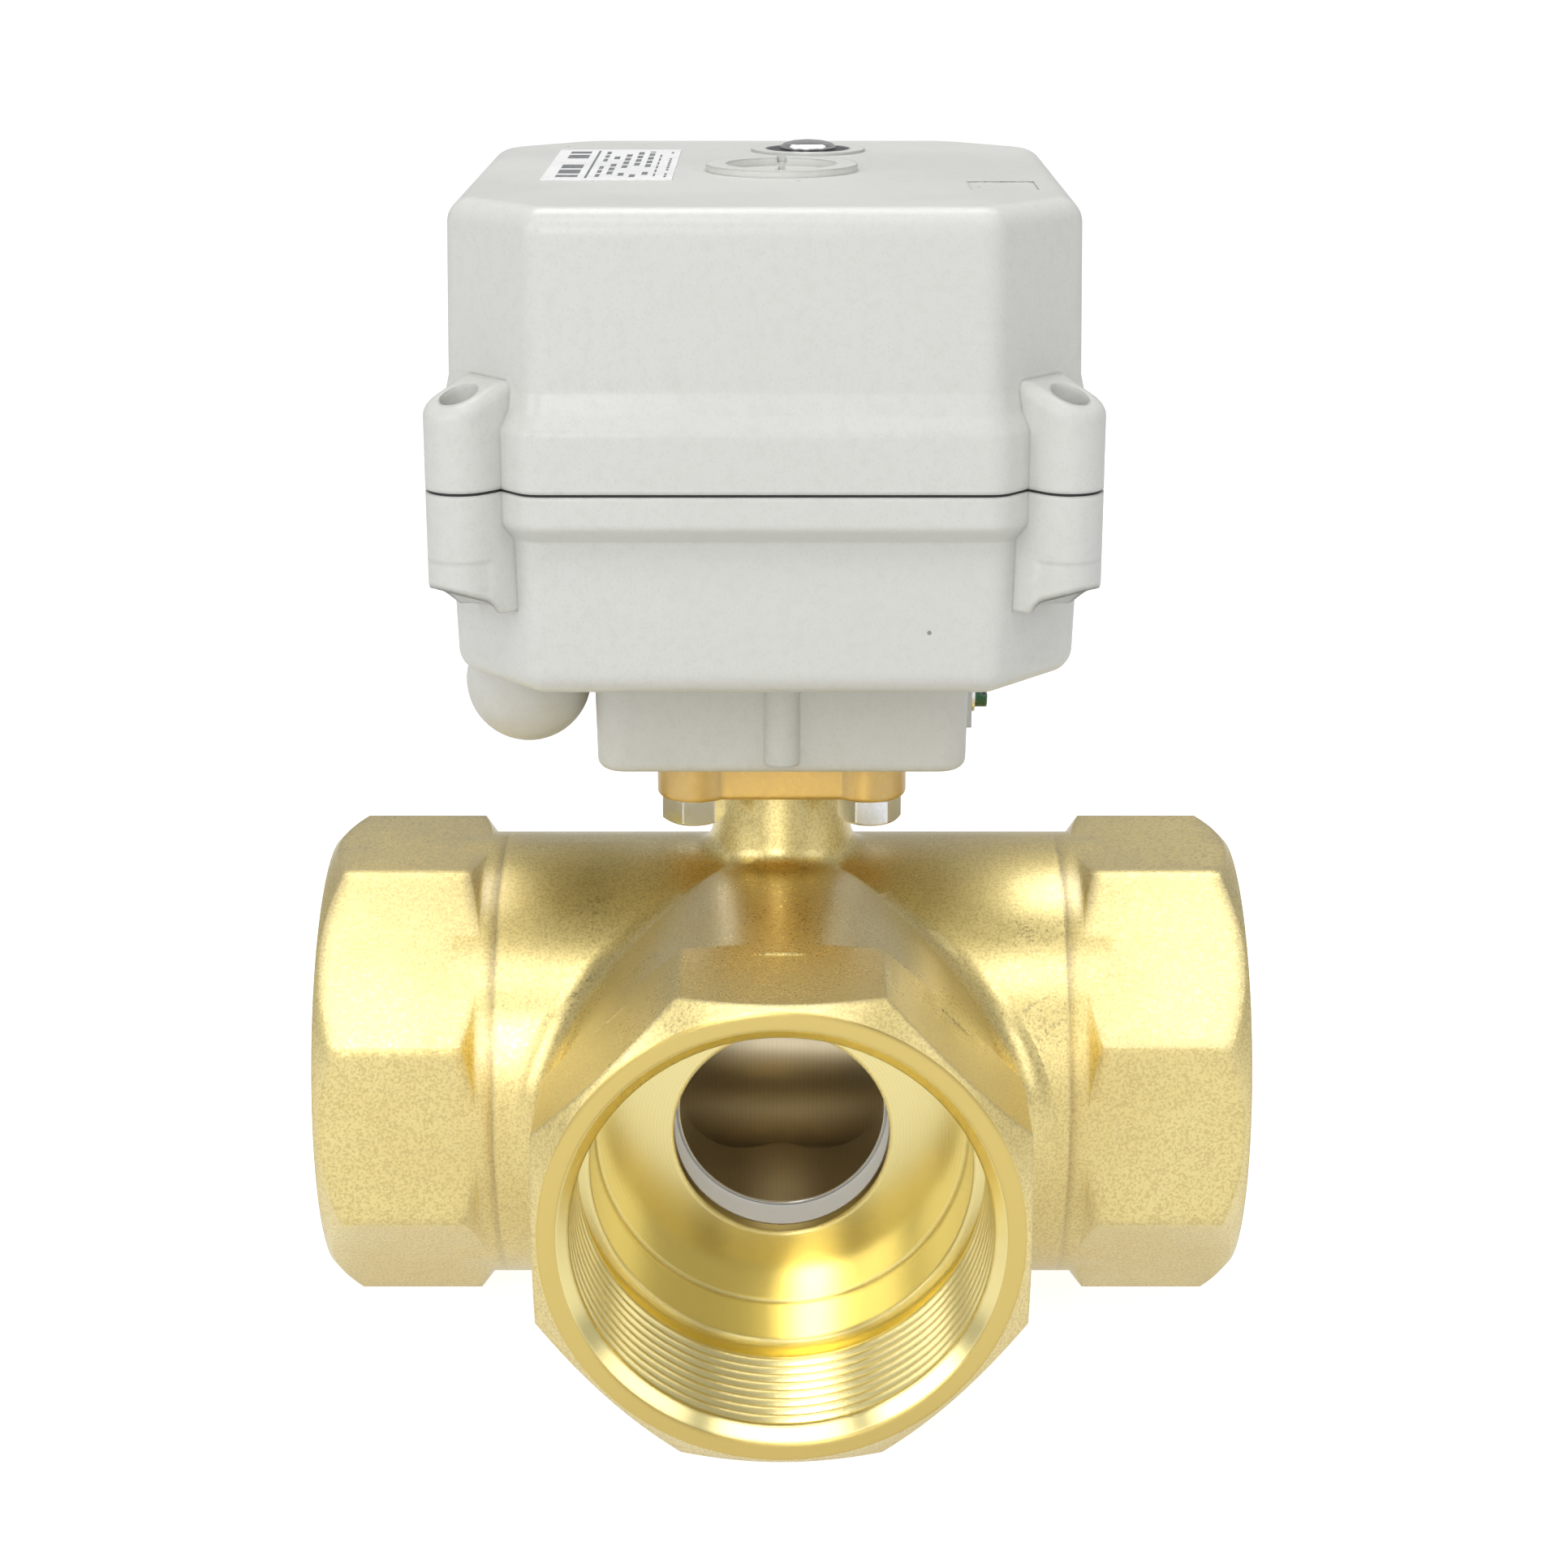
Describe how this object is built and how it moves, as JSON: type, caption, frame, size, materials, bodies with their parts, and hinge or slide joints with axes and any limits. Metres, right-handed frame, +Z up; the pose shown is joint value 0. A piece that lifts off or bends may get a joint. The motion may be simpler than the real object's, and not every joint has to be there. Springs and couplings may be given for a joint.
{
  "type": "motorised three-way zone valve",
  "caption": "Brass three-way ball valve with female threaded ports, turned a quarter turn by a geared electric actuator in a grey die-cast housing.",
  "frame": {"origin": "on the stem axis, in the plane of the flats that the valve stands on", "axes": "+Z up the stem to the top of the actuator, +X out of the right-hand port, -Y out of the front port"},
  "size_m": [0.1346, 0.1205, 0.1681],
  "materials": {
    "brass": "bead-blasted",
    "brass_cast": "bead-blasted with machined bores",
    "housing_paint": "fine-textured powder coat",
    "plated_steel": "bright zinc plate",
    "shaft_steel": "turned",
    "chrome": "polished",
    "seat_plastic": "smooth white",
    "gear_brass": "machined",
    "gear_steel": "machined",
    "rubber": "satin",
    "black_plastic": "moulded",
    "grey_plastic": "moulded",
    "cam_plastic": "moulded",
    "board_green": "solder mask",
    "terminal_green": "moulded",
    "plate_steel": "stamped",
    "bronze": "sintered",
    "label_film": "printed film",
    "aluminium_can": "drawn",
    "earth_green": "green lacquer"
  },
  "bodies": {
    "valve_and_housing": {"valve_body": "brass_cast", "end_connector_left": "brass", "end_connector_right": "brass", "connector_seal_left": "rubber", "connector_seal_right": "rubber", "seat_left": "seat_plastic", "seat_right": "seat_plastic", "seat_front": "seat_plastic", "seat_rear": "seat_plastic", "stem_thrust_washer": "seat_plastic", "flange_bolts": "plated_steel", "lower_housing": "housing_paint", "upper_housing": "housing_paint", "housing_gasket": "rubber", "cover_screws": "plated_steel", "shaft_bush_lower": "bronze", "shaft_seal": "rubber", "shaft_bush_upper": "bronze", "gear_plate_lower": "plate_steel", "gear_plate_upper": "plate_steel", "gear_plate_pillars": "plated_steel", "gear_plate_screws": "plated_steel", "gear_axle_3": "shaft_steel", "motor": "aluminium_can", "motor_screws": "plated_steel", "switch_bracket": "plate_steel", "limit_switch_open": "black_plastic", "limit_switch_closed": "black_plastic", "switch_screws": "plated_steel", "circuit_board": "board_green", "board_pillars": "plated_steel", "board_screws": "plated_steel", "terminal_block": "terminal_green", "board_components": "black_plastic", "indicator_seal": "rubber", "override_bush": "black_plastic", "rating_label": "label_film", "cable_gland": "black_plastic", "gland_seal": "rubber", "gland_nut": "black_plastic", "earth_washer": "plated_steel", "earth_screw": "earth_green"},
    "output_train": {"ball": "chrome", "stem": "shaft_steel", "stem_o_rings": "rubber", "output_shaft": "shaft_steel", "output_gear": "gear_steel", "cam_open": "cam_plastic", "cam_closed": "cam_plastic", "cam_screws": "plated_steel", "indicator_dial": "grey_plastic"},
    "third_gear": {"gear_3": "gear_brass"},
    "second_gear": {"gear_2": "gear_brass", "override_shaft": "shaft_steel"},
    "motor_rotor": {"motor_shaft": "shaft_steel", "motor_pinion": "gear_brass"},
    "open_lever": {"lever_open": "plate_steel"},
    "closed_lever": {"lever_closed": "plate_steel"},
    "cap": {"override_cap": "chrome", "override_cap_seal": "rubber"}
  },
  "joints": [
    {"name": "valve_turn", "type": "hinge", "parent": "valve_and_housing", "child": "output_train", "pos_m": [0, 0, 0.03331], "axis": [0, 0, 1], "range_deg": [0, 90]},
    {"name": "third_gear_spin", "type": "hinge", "parent": "valve_and_housing", "child": "third_gear", "pos_m": [-0.01369, 0.02781, 0.12211], "axis": [0, 0, 1], "range_deg": [-376, 1]},
    {"name": "second_gear_spin", "type": "hinge", "parent": "valve_and_housing", "child": "second_gear", "pos_m": [0.00391, 0.02831, 0.12211], "axis": [0, 0, 1], "range_deg": [-1, 1001]},
    {"name": "motor_spin", "type": "hinge", "parent": "valve_and_housing", "child": "motor_rotor", "pos_m": [0.01857, 0.02297, 0.12411], "axis": [0, 0, 1], "range_deg": [-3335, 1]},
    {"name": "open_lever_swing", "type": "hinge", "parent": "valve_and_housing", "child": "open_lever", "pos_m": [-0.0186, -0.009, 0.13411], "axis": [0, 0, 1], "range_deg": [-9.1, 0.1]},
    {"name": "closed_lever_swing", "type": "hinge", "parent": "valve_and_housing", "child": "closed_lever", "pos_m": [-0.0186, -0.009, 0.14211], "axis": [0, 0, 1], "range_deg": [-0.1, 9.1]},
    {"name": "override_cap_lift", "type": "slide", "parent": "valve_and_housing", "child": "cap", "axis": [0, 0, 1], "range_m": [0, 0.012]}
  ],
  "couplings": [
    {"joint": "third_gear_spin", "follows": "valve_turn", "ratio": -4.1667},
    {"joint": "second_gear_spin", "follows": "valve_turn", "ratio": 11.111},
    {"joint": "motor_spin", "follows": "valve_turn", "ratio": -37.037},
    {"joint": "open_lever_swing", "follows": "valve_turn", "ratio": -0.1},
    {"joint": "closed_lever_swing", "follows": "valve_turn", "ratio": 0.1}
  ]
}
